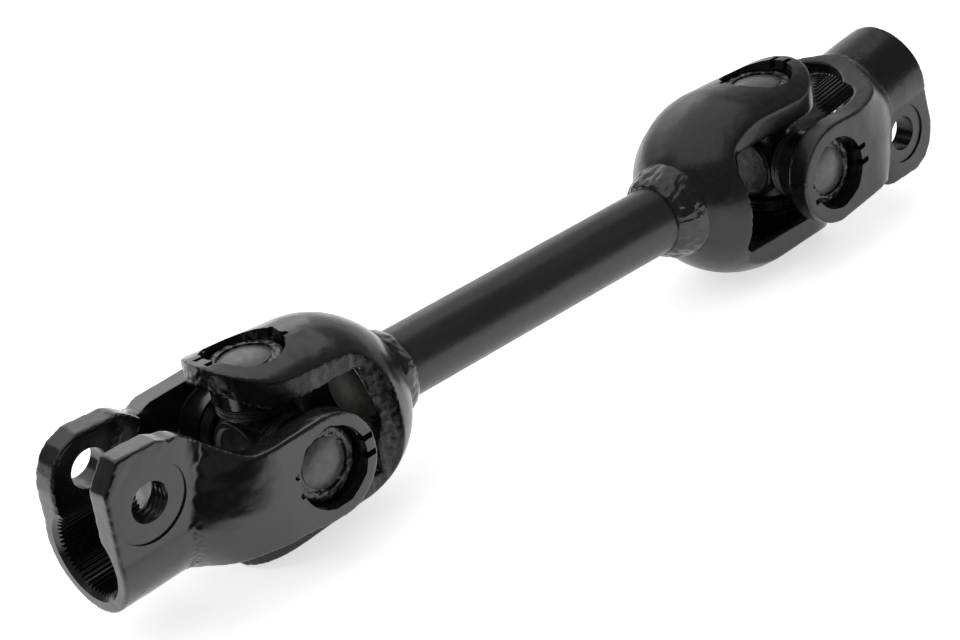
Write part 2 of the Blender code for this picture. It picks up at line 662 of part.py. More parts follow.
def joint(end, finishes):
    """One universal joint with its yokes. Local +X of the inner frame points to the shaft."""
    sign = -1 if end.letter == "a" else 1
    centre = Matrix.Translation((sign * JOINT_X, 0, 0))
    towards_shaft = Matrix.Rotation(math.pi if sign > 0 else 0.0, 4, 'Z')
    towards_clamp = Matrix.Rotation(math.pi, 4, 'Z' if sign < 0 else 'X')
    tilt = Matrix.Rotation(end.tilt, 4, 'Y')
    inner = empty("joint_frame_" + end.letter, centre @ towards_shaft)
    outer = empty("clamp_frame_" + end.letter, centre @ tilt @ towards_clamp)

    inner_yoke(end, finishes["yoke"], inner)
    weld_bead(end, finishes["weld"], inner)
    end_yoke(end, finishes["yoke"], outer)
    cross(end, finishes["cross"], inner)

    quarter = math.radians(90)
    up = Matrix.Identity(4)
    down = Matrix.Rotation(math.pi, 4, 'X')
    plus_y = Matrix.Rotation(-quarter, 4, 'X')
    minus_y = Matrix.Rotation(quarter, 4, 'X')
    bearing(end.letter + "_top", inner, up, finishes)
    bearing(end.letter + "_bottom", inner, down, finishes)
    bearing(end.letter + "_near", outer, plus_y, finishes)
    bearing(end.letter + "_far", outer, minus_y, finishes)
    for label, direction in (("top", up), ("bottom", down)):
        thrust_pad(end.letter + "_" + label, inner, direction, finishes["nylon"])
    for label, direction in (("near", plus_y), ("far", minus_y)):
        thrust_pad(end.letter + "_" + label, outer, direction, finishes["nylon"])


def main():
    clear_scene()
    finishes = looks()
    shaft(finishes["shaft"])
    joint(END_A, finishes)
    joint(END_B, finishes)


main()
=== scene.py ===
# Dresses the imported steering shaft: fine pressed yokes, bearings, welds, paint, camera and light.

import math

import bmesh
import bpy
import numpy as np
from mathutils import Matrix, Vector, noise

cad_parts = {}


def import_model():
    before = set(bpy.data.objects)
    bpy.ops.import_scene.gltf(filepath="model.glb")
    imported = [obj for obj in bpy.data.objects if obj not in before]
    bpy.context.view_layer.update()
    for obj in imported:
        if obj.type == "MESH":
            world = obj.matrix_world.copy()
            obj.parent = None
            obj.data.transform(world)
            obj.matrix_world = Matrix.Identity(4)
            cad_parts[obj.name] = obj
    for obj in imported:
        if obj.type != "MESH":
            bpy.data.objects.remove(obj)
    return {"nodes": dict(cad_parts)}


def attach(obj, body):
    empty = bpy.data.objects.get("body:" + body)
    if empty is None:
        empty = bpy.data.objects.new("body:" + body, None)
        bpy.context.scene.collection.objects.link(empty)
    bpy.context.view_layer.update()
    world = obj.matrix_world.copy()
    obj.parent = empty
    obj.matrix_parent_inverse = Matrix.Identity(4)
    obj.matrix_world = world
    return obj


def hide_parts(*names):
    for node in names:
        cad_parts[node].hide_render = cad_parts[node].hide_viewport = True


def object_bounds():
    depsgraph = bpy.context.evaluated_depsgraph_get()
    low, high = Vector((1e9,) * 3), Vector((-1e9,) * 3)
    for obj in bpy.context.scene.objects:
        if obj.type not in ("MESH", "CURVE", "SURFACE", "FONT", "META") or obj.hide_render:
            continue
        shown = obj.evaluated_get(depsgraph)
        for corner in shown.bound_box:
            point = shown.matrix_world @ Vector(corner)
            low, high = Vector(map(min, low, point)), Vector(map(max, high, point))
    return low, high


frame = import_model()
cad_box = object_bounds()

# Shapes are built in millimetres and scaled to metres when they are finished
TO_METRES = 0.001

JOINT_X = 75.5
SHAFT_RADIUS = 7.55
SHAFT_END_INSET = 22.5      # from a joint centre to the end of the shaft
SHAFT_CHAMFER = 1.0
SEAT_GAP = 0.3              # round the shaft in its hole, and under the root of a bead
CUP_HOLE = 8.2
CUT_OVER = 2.0              # how far a cutter runs past what it cuts

# Bearings
CUP_RADIUS = 8.0
CUP_INNER = 7.0
CUP_TOP = 18.4
CUP_MOUTH = 10.7
CUP_BOTTOM = 17.65
CUP_CORNER = 1.3
DOME_RADIUS = 5.2
DOME_HEIGHT = 0.75
GROOVE_WIDTH = 0.45
GROOVE_DEPTH = 0.5
TRUNNION_RADIUS = 4.4
TRUNNION_END = 15.85
SEAL_INNER = 4.6
SEAL_OUTER = 7.75
SEAL_TOP = 10.5
SEAL_BOTTOM = 7.9
SEAL_LIP = 0.4
SEAL_RIBS = 3
BOSS_TOP = 7.7
BOSS_RADIUS = 6.1
HUB_RADIUS = 7.0
HUB_HALF = 7.05
HUB_DISH_RADIUS = 5.9
HUB_DISH_DEPTH = 0.7

# Inner yokes
INNER_WALL = 5.0
INNER_ARM_HALF = 12.8
INNER_TIP_SHIFT = 1.0
SIDE_WINDOW = 11.7

# End yokes
ARM_WALL = 5.0
ARM_FACE = 21.5
BEND_START = 11.0
BEND_END = 28.8
BEND_CURVE = 0.032
BEND_CURVE_LIMIT = 15.0
ROUND_POWER = 2.0
SQUARE_POWER = 8.0
ARM_EXTRA_DEPTH = 12.0
BORE_STOCK = 0.1
THROAT = 24.5
THROAT_RADIUS = 12.0
THROAT_TOP = 1.3
LOWER_WAIST_AT = 11.0
LOWER_WAIST = 1.2
LOWER_DROP_START = 17.0
LOWER_DROP_END = 27.0
LOWER_DROP_POWER = 1.6
LOWER_CLEAR = 0.15
WAIST = 14.5
CLAMP_RADIUS = 12.0
EAR_FACE = 11.7
SERRATIONS = 54
SERRATION_DEPTH = 0.55
MOUTH_BEVEL = 0.7           # bevel at the end of the serrated bore
SPOT_DEPTH = 0.4
THREAD_PITCH = 1.25
THREAD_DEPTH = 0.45

# Steps along curves
ROUND = 96
CUP_ROUND = 72
TIP_STEPS = 40
CURVE_STEPS = 20
BEND_STATIONS = 26
LEG_ROWS = 8

DOME_STEPS = (28, 24)       # outside and inside of a drawn cup
FILLET_STEPS = 14
THROAT_STEPS = 32
LOWER_STEPS = 12            # along each part of an end yoke's lower edge
RISE_STEPS = 18             # along its upper edge, from arm to ear
HOLE_STEPS = 48
HUB_STEPS = 64

VOXEL = 0.36
FINE_VOXEL = 0.27
MERGE = 1e-4                # vertices closer than this are one


class EndSizes:
    """Sizes in which the two ends of the shaft differ."""

    def __init__(self, letter, **sizes):
        self.letter = letter
        self.__dict__.update(sizes)

    def outside(self, x):
        return self.inner_radius - self.inner_flare * x


CHAMFERED_EAR = ((0.0, 6.0), (4.0, 0.1), (12.9, 0.7), (15.3, 2.0))
ROUNDED_EAR = ((0.0, 9.0), (0.7, 6.4), (1.9, 3.7), (4.2, 1.3), (8.0, 0.0), (16.8, 0.9))

END_A = EndSizes(
    "a", length=45.0, bore=8.9, slot_half=6.5, arm_half=10.8, ear_top=22.8, far_top=20.2,
    ear_shape=CHAMFERED_EAR, hole_at=(9.0, 12.1), hole_near=4.4, hole_far=4.1, spot_radius=8.3,
    tilt=math.radians(-2.7), roll=math.radians(-7.0), offset=1.5, side_cut=20.5,
    inner_radius=21.0, inner_flare=0.07, dome_start=12.0, dome_depth=20.4, threaded=True,
    torn_edges=True, cut_fillet=6.0, window_depth=17.0, edge_rounding=4, edge_roughness=0.16,
    rim_wear=0.9, crease_wear=0.30, bead_rise=2.6, bead_length=3.4, bead_gap=0.04,
    bead_power=1.5, bead_grit=0.22)
END_B = EndSizes(
    "b", length=42.0, bore=8.8, slot_half=6.5, arm_half=11.5, ear_top=20.0, far_top=20.0,
    ear_shape=ROUNDED_EAR, hole_at=(10.5, 9.0), hole_near=4.05, hole_far=4.05, spot_radius=6.9,
    tilt=math.radians(-8.2), roll=0.0, offset=2.3, side_cut=25.2,
    inner_radius=20.9, inner_flare=-0.03, dome_start=13.0, dome_depth=22.0, threaded=False,
    torn_edges=False, cut_fillet=2.8, window_depth=22.5, edge_rounding=12, edge_roughness=0.05,
    rim_wear=0.5, crease_wear=0.10, bead_rise=3.3, bead_length=4.6, bead_gap=0.04,
    bead_power=1.35, bead_grit=0.42)


# Mesh helpers

def new_object(name, bm, matrix=None):
    bmesh.ops.remove_doubles(bm, verts=bm.verts, dist=MERGE)
    bmesh.ops.recalc_face_normals(bm, faces=bm.faces)
    if matrix is not None:
        bm.transform(matrix)
    mesh = bpy.data.meshes.new(name)
    bm.to_mesh(mesh)
    bm.free()
    made = bpy.data.objects.new(name, mesh)
    bpy.context.scene.collection.objects.link(made)
    return made


def settle(obj):
    """Replace the mesh by what its modifiers make of it."""
    graph = bpy.context.evaluated_depsgraph_get()
    mesh = bpy.data.meshes.new_from_object(obj.evaluated_get(graph))
    old = obj.data
    obj.modifiers.clear()
    obj.data = mesh
    bpy.data.meshes.remove(old)


def combine(obj, others, operation):
    """Boolean with several objects, which are used up."""
    for other in others:
        modifier = obj.modifiers.new(other.name, 'BOOLEAN')
        modifier.operation = operation
        modifier.solver = 'MANIFOLD'
        modifier.object = other
    settle(obj)
    for other in others:
        bpy.data.objects.remove(other)


def remesh(obj, voxel, rounding):
    """Even fine mesh with its edges rounded over, as paint and pressing leave them."""
    modifier = obj.modifiers.new("even", 'REMESH')
    modifier.mode = 'VOXEL'
    modifier.voxel_size = voxel
    if rounding:
        modifier = obj.modifiers.new("round", 'SMOOTH')
        modifier.factor = 0.5
        modifier.iterations = rounding
    settle(obj)


def finish_piece(obj, body, nodes, materials, sharp=35):
    """Scale to metres, shade, dress and seat a piece; edges over sharp degrees stay crisp."""
    obj.data.transform(Matrix.Scale(TO_METRES, 4))
    obj.data.shade_smooth()
    obj.data.set_sharp_from_angle(angle=math.radians(sharp))
    indices = [polygon.material_index for polygon in obj.data.polygons]
    obj.data.materials.clear()
    for made in materials:
        obj.data.materials.append(made)
    obj.data.polygons.foreach_set("material_index", indices)
    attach(obj, body)
    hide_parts(*nodes)
    return obj


def vertices(obj):
    flat = np.empty(len(obj.data.vertices) * 3, np.float32)
    obj.data.vertices.foreach_get("co", flat)
    return flat.reshape(-1, 3)


def vertex_normals(obj):
    flat = np.empty(len(obj.data.vertices) * 3, np.float32)
    obj.data.vertex_normals.foreach_get("vector", flat)
    return flat.reshape(-1, 3)


def move_along_normals(obj, amounts):
    places = vertices(obj) + vertex_normals(obj) * amounts[:, None]
    obj.data.vertices.foreach_set("co", places.astype(np.float32).ravel())
    obj.data.update()


def lumps(places, size, seed):
    """Smooth noise from -1 to 1 at each place, with bumps of about the given size."""
    shift = Vector((seed * 17.3, seed * 5.1, seed * 9.7))
    return np.array([noise.noise(Vector(place) / size + shift) for place in places.tolist()])


def turned(profile, steps):
    """Closed outline of (radius, height) pairs, spun round Z."""
    bm = bmesh.new()
    verts = [bm.verts.new((radius, 0.0, height)) for radius, height in profile]
    edges = []
    for i in range(len(verts)):
        if profile[i - 1][0] > 0 or profile[i][0] > 0:
            edges.append(bm.edges.new((verts[i - 1], verts[i])))
    bmesh.ops.spin(bm, geom=verts + edges, cent=(0, 0, 0), axis=(0, 0, 1),
                   angle=2 * math.pi, steps=steps, use_duplicate=False)
    bmesh.ops.remove_doubles(bm, verts=bm.verts, dist=MERGE)
    return bm


def prism(outline, low, high, axis):
    """Flat outline extruded along an axis; the outline's pairs are the other two axes."""
    places = {
        'X': lambda a, b, depth: (depth, a, b),
        'Y': lambda a, b, depth: (a, depth, b),
        'Z': lambda a, b, depth: (a, b, depth),
    }[axis]
    bm = bmesh.new()
    face = bm.faces.new([bm.verts.new(places(a, b, low)) for a, b in outline])
    grown = bmesh.ops.extrude_face_region(bm, geom=[face])
    moved = [item for item in grown["geom"] if isinstance(item, bmesh.types.BMVert)]
    bmesh.ops.translate(bm, verts=moved, vec=Vector(places(0.0, 0.0, high - low)))
    bmesh.ops.triangulate(bm, faces=bm.faces)
    return bm


def arc(centre, radius, start, stop, steps):
    points = []
    for i in range(steps + 1):
        angle = math.radians(start + (stop - start) * i / steps)
        points.append((centre[0] + radius * math.cos(angle),
                       centre[1] + radius * math.sin(angle)))
    return points


def rod(radius, low, high, axis, steps=ROUND, at=(0.0, 0.0)):
    return prism(arc(at, radius, 0, 360 - 360 / steps, steps - 1), low, high, axis)


def smooth_step(value):
    value = min(1.0, max(0.0, value))
    return value * value * (3 - 2 * value)


# Staking marks round a cup's hole, cut in a frame whose +Z points out of the arm

STAKE_FLOOR = 2.2           # depth of a mark below the arm's face
LONG_STAKES = ((-1.9, 5.0, 10.3), (1.75, 5.4, 10.2))
SHORT_STAKES = ((-2.6, 6.5, 9.2), (1.6, 6.5, 9.0))
STAKE_WIDTH = 1.3
STAKE_POINT = 0.3           # length of the pointed end of a mark
RIM_DEPTH = 1.5             # down to here the edge of a cup's hole is torn
RIM_CLEAR = 0.05            # least that the torn edge is wider than the hole
RIM_WAVES = 2.2             # slow waves and small chips of the torn edge
RIM_CHIPS = 6.0
RIM_CHIP_SHARE = 0.8


def stake_marks(name, direction, face, long_side):
    """Two long slots on one side of the hole and two short ones opposite."""
    made = []
    for side, marks in ((long_side, LONG_STAKES), (-long_side, SHORT_STAKES)):
        for i, (across, near, far) in enumerate(marks):
            half = STAKE_WIDTH / 2
            ends = sorted((side * near, side * far))
            outline = [(ends[0], across - half), (ends[1] - STAKE_POINT, across - half),
                       (ends[1], across), (ends[1] - STAKE_POINT, across + half),
                       (ends[0], across + half)]
            bm = prism(outline, face - STAKE_FLOOR, face + CUT_OVER, 'Z')
            made.append(new_object("%s_%s_%d" % (name, "lr"[side < 0], i), bm, direction))
    return made


def torn_rim(name, direction, face, amount, seed):
    """Shallow cut with an uneven outline, for the burred mouth of a cup's hole."""
    outline = []
    for i in range(ROUND):
        angle = 2 * math.pi * i / ROUND
        side = Vector((math.cos(angle), math.sin(angle), seed))
        wear = noise.noise(side * RIM_WAVES) + RIM_CHIP_SHARE * noise.noise(side * RIM_CHIPS)
        reach = CUP_HOLE + RIM_CLEAR + amount * max(0.0, wear)
        outline.append((reach * side.x, reach * side.y))
    return new_object(name, prism(outline, face - RIM_DEPTH, face + CUT_OVER, 'Z'), direction)


# Inner yoke

ROUND_ARM_DROP = 0.2        # the marks go this much deeper on a round arm
SHEET_DOME_START = 12.0     # where the sheet starts to curve in, for telling its cut edges
SWELLS = ((0.06, 6.0, 0), (0.03, 2.2, 3))   # height, size and shift of seed
TORN_SIZE = 1.1
TORN_SHARE = 0.6            # a vertex that faces its sheet by less than this is torn
TORN_FADE = 0.3
TORN_SEED_SHIFT = 5
EDGE_SHARE = 0.45           # a face that faces its sheet by less than this is an edge
UPRIGHT = 0.4               # most that a face on an arm's sheared side may look up


def dome_arc(radius, start, depth, hole, steps):
    last = math.acos(hole / radius)
    return [(radius * math.cos(last * i / steps), start + depth * math.sin(last * i / steps))
            for i in range(steps + 1)]


def drawn_cup(end):
    hole = SHAFT_RADIUS / 2
    mouth = -INNER_ARM_HALF - CUT_OVER
    radius = end.outside(end.dome_start)
    outer = dome_arc(radius, end.dome_start, end.dome_depth, hole, DOME_STEPS[0])
    inner = dome_arc(radius - INNER_WALL, end.dome_start, end.dome_depth - INNER_WALL, hole,
                     DOME_STEPS[1])
    profile = [(end.outside(mouth), mouth)] + outer + inner[::-1]
    profile.append((end.outside(mouth) - INNER_WALL, mouth))
    bm = turned(profile, ROUND)
    bm.transform(Matrix.Rotation(math.radians(90), 4, 'Y'))
    bmesh.ops.triangulate(bm, faces=bm.faces)
    return bm


def inner_plan(end):
    wide = end.inner_radius + CUT_OVER
    back = end.dome_start + end.dome_depth + CUT_OVER
    corner = (end.side_cut - end.cut_fillet, INNER_ARM_HALF + end.cut_fillet)
    half = arc(corner, end.cut_fillet, -90, 0, FILLET_STEPS)
    half += [(end.side_cut, wide), (back, wide)]
    tip = arc((INNER_TIP_SHIFT, 0.0), INNER_ARM_HALF, 90, 270, TIP_STEPS)
    return tip + [(x, -y) for x, y in half] + half[::-1]


def inner_yoke(end, body, frame_matrix, materials):
    letter = end.letter
    yoke = new_object("pressed_yoke_" + letter, drawn_cup(end))
    high = end.outside(-INNER_ARM_HALF) + CUT_OVER
    plan = new_object("plan", prism(inner_plan(end), -high, high, 'Z'))
    combine(yoke, [plan], 'INTERSECT')
    window = [(-high, -SIDE_WINDOW), (end.window_depth, -SIDE_WINDOW),
              (end.window_depth, SIDE_WINDOW), (-high, SIDE_WINDOW)]
    combine(yoke, [new_object("window", prism(window, -high, high, 'Y'))], 'DIFFERENCE')
    remesh(yoke, VOXEL, end.edge_rounding)
    roughen(yoke, end.edge_roughness, inner_sheet_share(yoke), seed=ord(letter))
    back = end.dome_start + end.dome_depth + CUT_OVER
    cuts = [new_object("cup", rod(CUP_HOLE, -high, high, 'Z', CUP_ROUND)),
            new_object("shaft_hole", rod(SHAFT_RADIUS + SEAT_GAP, end.dome_start, back, 'X'))]
    face = end.outside(0.0)
    for turn in (0.0, math.pi):
        direction = Matrix.Rotation(turn, 4, 'X')
        cuts += stake_marks("stake", direction, face - ROUND_ARM_DROP, -1)
        cuts.append(torn_rim("rim", direction, face, end.rim_wear, 3.0 + turn))
    combine(yoke, cuts, 'DIFFERENCE')
    if len(materials) > 1:
        paint_edges(yoke, inner_sheet_share(yoke), end.side_cut)
    yoke.data.transform(frame_matrix)
    finish_piece(yoke, body, ["inner_yoke_" + letter], materials)


def inner_sheet_share(obj):
    """How far each vertex of an inner yoke faces in or out of its sheet."""
    places = vertices(obj)
    normals = vertex_normals(obj)
    outward = places * np.array([[0.0, 1.0, 1.0]])
    past = np.clip(places[:, 0] - SHEET_DOME_START, 0.0, None)
    outward[:, 0] = past
    outward /= np.maximum(np.linalg.norm(outward, axis=1), 1e-6)[:, None]
    return np.abs((outward * normals).sum(axis=1))


def roughen(obj, edge_roughness, sheet_share, seed):
    """Slow swells over the paint, and the torn look of sheared edges."""
    places = vertices(obj)
    swell = sum(height * lumps(places, size, seed + shift) for height, size, shift in SWELLS)
    torn = np.clip((TORN_SHARE - sheet_share) / TORN_FADE, 0.0, 1.0)
    rough = lumps(places, TORN_SIZE, seed + TORN_SEED_SHIFT)
    move_along_normals(obj, swell + torn * edge_roughness * rough)


def paint_edges(obj, sheet_share, side_cut):
    """Give faces that are cut through the sheet the second material."""
    mesh = obj.data
    for polygon in mesh.polygons:
        share = sum(sheet_share[v] for v in polygon.vertices) / len(polygon.vertices)
        upright = abs(polygon.normal.z) < UPRIGHT and polygon.center.x < side_cut
        polygon.material_index = 1 if share < EDGE_SHARE or upright else 0


# End yoke

SPLINE_TOOTH = ((0.0, -0.12), (0.0, 0.12), (1.0, 0.42), (1.0, 0.58))    # depth and pitch shares
THREAD_COLUMNS = 56
THREAD_ROWS = 6             # rows in one pitch
END_ROUNDING = 4            # passes that round a pressed edge over
END_EDGE_SHARE = 0.1        # shares of edge_roughness and rim_wear that an end yoke takes
END_RIM_SHARE = 0.5
CREASE_INSET = 0.5          # wrinkles run just inside the end of the bend
CREASE_WIDTH = 1.1
CREASE_TOP = 4.0            # they fade out upwards, but not fully
CREASE_FADE = 6.0
CREASE_LEAST = 0.15
CREASE_SIZE = 0.9
CREASE_SEED = 21
CLOSED_SIDE_FADE = 4.0      # over this depth the flat arms' sheet becomes the clamp's round one


def arm_stand(x, height):
    finish = BEND_END - BEND_CURVE * min(abs(height), BEND_CURVE_LIMIT) ** 2
    share = min(1.0, max(0.0, (x - BEND_START) / (finish - BEND_START)))
    return EAR_FACE + (ARM_FACE - EAR_FACE) * math.cos(share * math.pi / 2)


def channel_section(end, x):
    clamp_share = smooth_step((x - BEND_START) / (BEND_END - BEND_START))
    arm_share = 1 - clamp_share
    power = ROUND_POWER + (SQUARE_POWER - ROUND_POWER) * arm_share
    crease = clamp_share * math.sqrt(CLAMP_RADIUS ** 2 - EAR_FACE ** 2)
    bulge = 1 + clamp_share * (CLAMP_RADIUS / EAR_FACE - 1)
    wall = ARM_WALL + (EAR_FACE - end.slot_half - ARM_WALL) * clamp_share
    deep = CLAMP_RADIUS + ARM_EXTRA_DEPTH * arm_share
    bore_floor = end.bore - SERRATION_DEPTH - BORE_STOCK
    deep_inside = (deep - ARM_WALL) * arm_share + bore_floor * clamp_share
    top = end.ear_top + CUT_OVER
    twist = Matrix.Rotation(end.roll * clamp_share, 2)
    shift = Vector((end.offset * clamp_share, 0.0))

    def side(depth, inset, widen, start_height):
        points = []
        for i in range(LEG_ROWS):
            height = top * (1 - i / (LEG_ROWS + 1))
            points.append((arm_stand(x, height) - inset, height))
        start = -math.asin((start_height / depth) ** (power / 2))
        for i in range(CURVE_STEPS + 1):
            angle = start + (math.pi / 2 - start) * i / CURVE_STEPS
            height = -depth * math.copysign(abs(math.sin(angle)) ** (2 / power), angle)
            reach = abs(math.cos(angle)) ** (2 / power)
            points.append(((arm_stand(x, height) * widen - inset) * reach, height))
        return points

    loops = []
    for half in (side(deep, 0.0, bulge, crease), side(deep_inside, wall, 1.0, 0.0)):
        whole = half + [(-y, z) for y, z in half[-2::-1]]
        loops.append([twist @ Vector(point) + shift for point in whole])
    return loops


def channel(end):
    stations = [-end.arm_half - CUT_OVER, 0.0, BEND_START]
    for i in range(BEND_STATIONS):
        stations.append(BEND_START + (BEND_END - BEND_START) * (i + 1) / BEND_STATIONS)
    stations.append(end.length)
    bm = bmesh.new()
    rings = []
    for x in stations:
        outer, inner = channel_section(end, x)
        rings.append(([bm.verts.new((x, y, z)) for y, z in outer],
                      [bm.verts.new((x, y, z)) for y, z in inner]))
    for (outer_a, inner_a), (outer_b, inner_b) in zip(rings, rings[1:]):
        for i in range(len(outer_a) - 1):
            bm.faces.new((outer_a[i], outer_b[i], outer_b[i + 1], outer_a[i + 1]))
            bm.faces.new((inner_a[i], inner_a[i + 1], inner_b[i + 1], inner_b[i]))
        bm.faces.new((outer_a[0], inner_a[0], inner_b[0], outer_b[0]))
        bm.faces.new((outer_a[-1], outer_b[-1], inner_b[-1], inner_a[-1]))
    for outer, inner in (rings[0], rings[-1]):
        for i in range(len(outer) - 1):
            bm.faces.new((outer[i], outer[i + 1], inner[i + 1], inner[i]))
    bmesh.ops.triangulate(bm, faces=bm.faces)
    return bm


def end_profile(end):
    low = -CLAMP_RADIUS - LOWER_CLEAR
    arm_half = end.arm_half
    tip = arc((0.0, 0.0), arm_half, 90, 270, TIP_STEPS)
    edge = LOWER_WAIST - arm_half
    lower = []
    for i in range(1, LOWER_STEPS + 1):
        share = i / LOWER_STEPS
        lower.append((LOWER_WAIST_AT * share,
                      -arm_half + LOWER_WAIST * smooth_step(share)))
    for i in range(LOWER_STEPS + 1):
        share = i / LOWER_STEPS
        lower.append((LOWER_DROP_START + (LOWER_DROP_END - LOWER_DROP_START) * share,
                      edge + (low - edge) * share ** LOWER_DROP_POWER))
    ear = [(end.length + CUT_OVER, low),
           (end.length + CUT_OVER, end.ear_top - end.ear_shape[0][1])]
    ear += [(end.length - back, end.ear_top - down) for back, down in end.ear_shape]
    last_x, last_z = ear[-1]
    rise = []
    for i in range(1, RISE_STEPS + 1):
        share = i / RISE_STEPS
        rise.append((last_x + (WAIST - last_x) * share,
                     arm_half + (last_z - arm_half) * (1 - smooth_step(share))))
    return tip + lower + ear + rise


def far_ear_trim(end):
    outline = [(end.length - back, end.far_top - down) for back, down in ROUNDED_EAR]
    high = end.ear_top + CUT_OVER
    front = end.length + CUT_OVER
    return outline + [(outline[-1][0] - CUT_OVER, high), (front, high), (front, outline[0][1])]


def throat_plan(end):
    left = -end.arm_half - 2 * CUT_OVER
    points = [(left, THROAT_RADIUS), (left, -THROAT_RADIUS)]
    return points + arc((THROAT - THROAT_RADIUS, 0.0), THROAT_RADIUS, -90, 90, THROAT_STEPS)


def serrated_outline(end):
    points = []
    pitch = 2 * math.pi / SERRATIONS
    for i in range(SERRATIONS):
        for depth, share in SPLINE_TOOTH:
            radius = end.bore - depth * SERRATION_DEPTH
            angle = (i + share) * pitch
            points.append((radius * math.cos(angle), radius * math.sin(angle)))
    return points


def mouth_cone(end):
    """Cutter for the bevel where the serrated bore meets the end face."""
    wide = end.bore + MOUTH_BEVEL
    inside = end.length - 2 * MOUTH_BEVEL
    profile = [(0.0, inside), (end.bore - MOUTH_BEVEL, inside), (wide, end.length),
               (wide, end.length + CUT_OVER), (0.0, end.length + CUT_OVER)]
    bm = turned(profile, ROUND)
    bm.transform(Matrix.Rotation(math.radians(90), 4, 'Y'))
    return bm


def thread(radius, low, high, at):
    """Rod along Y with a helical thread, to cut a tapped hole."""
    bm = bmesh.new()
    rows = int((high - low) / THREAD_PITCH * THREAD_ROWS)
    rings = []
    for row in range(rows + 1):
        y = low + (high - low) * row / rows
        ring = []
        for column in range(THREAD_COLUMNS):
            turn = column / THREAD_COLUMNS
            phase = (y / THREAD_PITCH - turn) % 1.0
            reach = radius - THREAD_DEPTH * abs(2 * phase - 1)
            angle = 2 * math.pi * turn
            ring.append(bm.verts.new((at[0] + reach * math.cos(angle), y,
                                      at[1] + reach * math.sin(angle))))
        rings.append(ring)
    for lower, upper in zip(rings, rings[1:]):
        for i in range(THREAD_COLUMNS):
            j = (i + 1) % THREAD_COLUMNS
            bm.faces.new((lower[i], lower[j], upper[j], upper[i]))
    bm.faces.new(rings[0][::-1])
    bm.faces.new(rings[-1])
    bmesh.ops.triangulate(bm, faces=bm.faces)
    return bm


def end_yoke(end, body, frame_matrix, materials):
    letter = end.letter
    yoke = new_object("clamp_yoke_" + letter, channel(end))
    wide = ARM_FACE + CUT_OVER
    clamp = Matrix.Translation((0, end.offset, 0)) @ Matrix.Rotation(end.roll, 4, 'X')
    side_view = new_object("side_view", prism(end_profile(end), -wide, wide, 'Y'))
    combine(yoke, [side_view], 'INTERSECT')
    combine(yoke, [
        new_object("throat", prism(throat_plan(end), -CLAMP_RADIUS - 2 * CUT_OVER,
                                   -THROAT_TOP, 'Z')),
        new_object("far_ear", prism(far_ear_trim(end), -wide, 0.0, 'Y'), clamp),
    ], 'DIFFERENCE')
    remesh(yoke, VOXEL, END_ROUNDING)
    roughen(yoke, end.edge_roughness * END_EDGE_SHARE, end_sheet_share(yoke),
            seed=ord(letter) + 7)
    places = vertices(yoke)
    crease = np.exp(-((places[:, 0] - BEND_END + CREASE_INSET) / CREASE_WIDTH) ** 2)
    low = np.clip((CREASE_TOP - places[:, 2]) / CREASE_FADE, CREASE_LEAST, 1.0)
    wrinkles = lumps(places, CREASE_SIZE, CREASE_SEED)
    move_along_normals(yoke, end.crease_wear * crease * low * wrinkles)
    at = (end.length - end.hole_at[0], end.hole_at[1])
    if end.threaded:
        near_hole = thread(end.hole_near, end.slot_half / 2, wide, at)
    else:
        near_hole = rod(end.hole_near, 0.0, wide, 'Y', HOLE_STEPS, at)
    cuts = [
        new_object("cup", rod(CUP_HOLE, -wide, wide, 'Y', CUP_ROUND)),
        new_object("bore", prism(serrated_outline(end), THROAT - THROAT_RADIUS,
                                 end.length + CUT_OVER, 'X'), clamp),
        new_object("far_hole", rod(end.hole_far, -wide, -0.1, 'Y', HOLE_STEPS, at), clamp),
        new_object("spot", rod(end.spot_radius, EAR_FACE - SPOT_DEPTH, wide, 'Y', ROUND, at),
                   clamp),
        new_object("near_hole", near_hole, clamp),
        new_object("mouth", mouth_cone(end), clamp),
    ]
    quarter = math.radians(90)
    long_side = -1 if end.threaded else 1
    for turn in (-quarter, quarter):
        direction = Matrix.Rotation(turn, 4, 'X')
        cuts += stake_marks("stake", direction, ARM_FACE, long_side)
        cuts.append(torn_rim("rim", direction, ARM_FACE, end.rim_wear * END_RIM_SHARE,
                             9.0 + turn))
    combine(yoke, cuts, 'DIFFERENCE')
    yoke.data.transform(frame_matrix)
    finish_piece(yoke, body, ["end_yoke_" + letter], materials)


def end_sheet_share(obj):
    """How far each vertex of an end yoke faces in or out of its bent sheet."""
    places = vertices(obj)
    normals = vertex_normals(obj)
    rounded = np.clip((places[:, 0] - BEND_START) / (BEND_END - BEND_START), 0.0, 1.0)
    below = np.clip(-places[:, 2] / CLOSED_SIDE_FADE, 0.0, 1.0) * rounded
    across = np.abs(normals[:, 1])
    radial = np.hypot(normals[:, 1], normals[:, 2])
    return across * (1 - below) + radial * below


# Bearings and cross

RIM_LOOPS = 3               # loops across a cup's rim, to carry its dents
RIM_LOOP_WIDTH = 0.25
CUP_DOME_ROWS = 14
CUP_DOME_POWER = 2.6
RIB_STEPS = 8
DENT_BAND = 0.9             # down to here a cup's rim is dented
DENT_DEPTH = 0.30
DENT_SIZE = 0.9
DENT_SINK = 0.1
HUB_BEVEL = 0.4
ROOT_FILLET = 0.35          # round the foot of a trunnion
HUB_LUMPS = 0.05
HUB_LUMP_SIZE = 1.5
HUB_ROUNDING = 3


